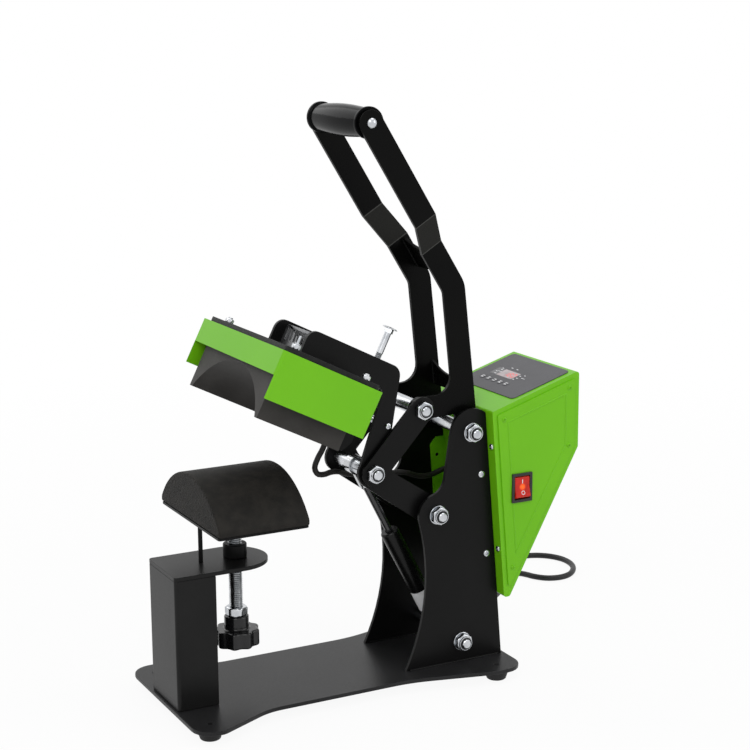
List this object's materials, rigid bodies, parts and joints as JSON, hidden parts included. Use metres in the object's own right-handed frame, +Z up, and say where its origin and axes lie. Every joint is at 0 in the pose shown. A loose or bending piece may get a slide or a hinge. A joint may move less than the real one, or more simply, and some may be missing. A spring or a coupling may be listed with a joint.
{
  "type": "cap heat press",
  "caption": "Cap heat press: a curved heat block on a toggle arm swings down onto a curved padded platen, with a gas strut, pressure screw and control box.",
  "frame": {"origin": "on the floor under the middle of the machine without its cord", "axes": "+X from the operator's side to the back, +Y across the machine to its left side as seen from the operator's place behind the front post, +Z up"},
  "size_m": [0.625, 0.3565, 0.5988],
  "materials": {
    "black_steel": "satin black powder coat, fine texture",
    "zinc_steel": "bright zinc plate",
    "chrome_rod": "black nitrided rod with a bright end fitting",
    "green_steel": "lime green powder coat, semi gloss",
    "grey_steel": "dull zinc sheet",
    "feet_rubber": "matt black rubber",
    "cord_rubber": "semi matt black PVC",
    "panel_film": "dark grey polyester film",
    "display_glass": "dark red filter window",
    "board": "glass epoxy board with parts",
    "switch_plastic": "black nylon",
    "rocker_plastic": "red translucent rocker",
    "cast_aluminium": "dark grey non stick coating",
    "mineral_wool": "fibre blanket",
    "silicone_foam": "charcoal silicone foam",
    "grip_plastic": "glossy black",
    "knob_plastic": "black phenolic, semi matt"
  },
  "bodies": {
    "root": {"base_plate": "black_steel", "rubber_feet": "feet_rubber", "foot_screws": "zinc_steel", "front_post": "black_steel", "post_top_plate": "black_steel", "screw_boss": "black_steel", "right_upright": "black_steel", "left_upright": "black_steel", "pivot_bolts": "zinc_steel", "lock_nuts": "zinc_steel", "washers": "zinc_steel", "pivot_spacers": "zinc_steel", "box_body": "green_steel", "right_box_cover": "green_steel", "left_box_cover": "green_steel", "box_fixings": "zinc_steel", "control_panel": "panel_film", "display_window": "display_glass", "circuit_board": "board", "switch_housing": "switch_plastic", "control_lead": "cord_rubber", "cord_relief": "cord_rubber", "power_cord": "cord_rubber", "cord_coil": "cord_rubber", "mains_plug": "cord_rubber"},
    "screw": {"pressure_screw": "zinc_steel", "screw_knob": "knob_plastic"},
    "platen": {"platen_plate": "black_steel", "platen_pad": "silicone_foam", "guide_rod": "black_steel", "swivel_socket": "zinc_steel"},
    "rocker": {"switch_rocker": "rocker_plastic"},
    "strut_rod": {"strut_rod": "chrome_rod"},
    "strut": {"strut_cylinder": "black_steel", "strut_foot": "zinc_steel"},
    "link": {"toggle_links": "black_steel", "link_bolts": "zinc_steel"},
    "handle": {"right_handle_bar": "black_steel", "left_handle_bar": "black_steel", "stop_plate": "black_steel", "handle_gusset": "black_steel", "grip": "grip_plastic", "grip_bolt": "zinc_steel", "toggle_bolt": "zinc_steel"},
    "arm": {"right_arm_plate": "black_steel", "left_arm_plate": "black_steel", "carriage_brace": "grey_steel", "stop_bridge": "black_steel", "stop_bolt": "zinc_steel", "arm_rods": "zinc_steel", "arm_tubes": "zinc_steel", "backing_plate": "black_steel", "heater_hood": "green_steel", "heat_block": "cast_aluminium", "heater_rods": "zinc_steel", "insulation_pad": "mineral_wool", "platen_studs": "zinc_steel", "stud_nuts": "zinc_steel", "terminal_cover": "black_steel", "heater_cable": "cord_rubber"}
  },
  "joints": [
    {"name": "arm_tilt", "type": "hinge", "parent": "root", "child": "arm", "pos_m": [0.0625, 0, 0.1793], "axis": [0, -1, 0], "range_deg": [0, 26.7], "stiffness_Nm_per_rad": 10, "springref_deg": -45.84},
    {"name": "handle_lift", "type": "hinge", "parent": "root", "child": "handle", "pos_m": [0.103, 0, 0.262], "axis": [0, -1, 0], "range_deg": [0, 55.7]},
    {"name": "link_swing", "type": "hinge", "parent": "handle", "child": "link", "pos_m": [0.0475, 0, 0.2906], "axis": [0, -1, 0], "range_deg": [-74.5, 0]},
    {"name": "strut_tilt", "type": "hinge", "parent": "root", "child": "strut", "pos_m": [0.0915, 0, 0.037], "axis": [0, -1, 0], "range_deg": [0, 9.2]},
    {"name": "strut_stroke", "type": "slide", "parent": "strut", "child": "strut_rod", "axis": [0.4564, 0, -0.8898], "range_m": [0, 0.0236]},
    {"name": "platen_lift", "type": "slide", "parent": "root", "child": "platen", "axis": [0, 0, 1], "range_m": [-0.016, 0]},
    {"name": "screw_turn", "type": "hinge", "parent": "platen", "child": "screw", "pos_m": [-0.1438, 0, 0.1], "axis": [0, 0, 1], "range_deg": [-2885, 0]},
    {"name": "switch_rock", "type": "hinge", "parent": "root", "child": "rocker", "pos_m": [0.1545, -0.06042, 0.2], "axis": [1, 0, 0], "range_deg": [0, 16]}
  ],
  "couplings": [
    {"joint": "handle_lift", "follows": "arm_tilt", "ratio": 2.0809},
    {"joint": "link_swing", "follows": "arm_tilt", "ratio": -2.7835},
    {"joint": "strut_tilt", "follows": "arm_tilt", "ratio": 0.3427},
    {"joint": "strut_stroke", "follows": "arm_tilt", "m_per_rad": 0.0503},
    {"joint": "screw_turn", "follows": "platen_lift", "rad_per_m": 3141.6}
  ]
}
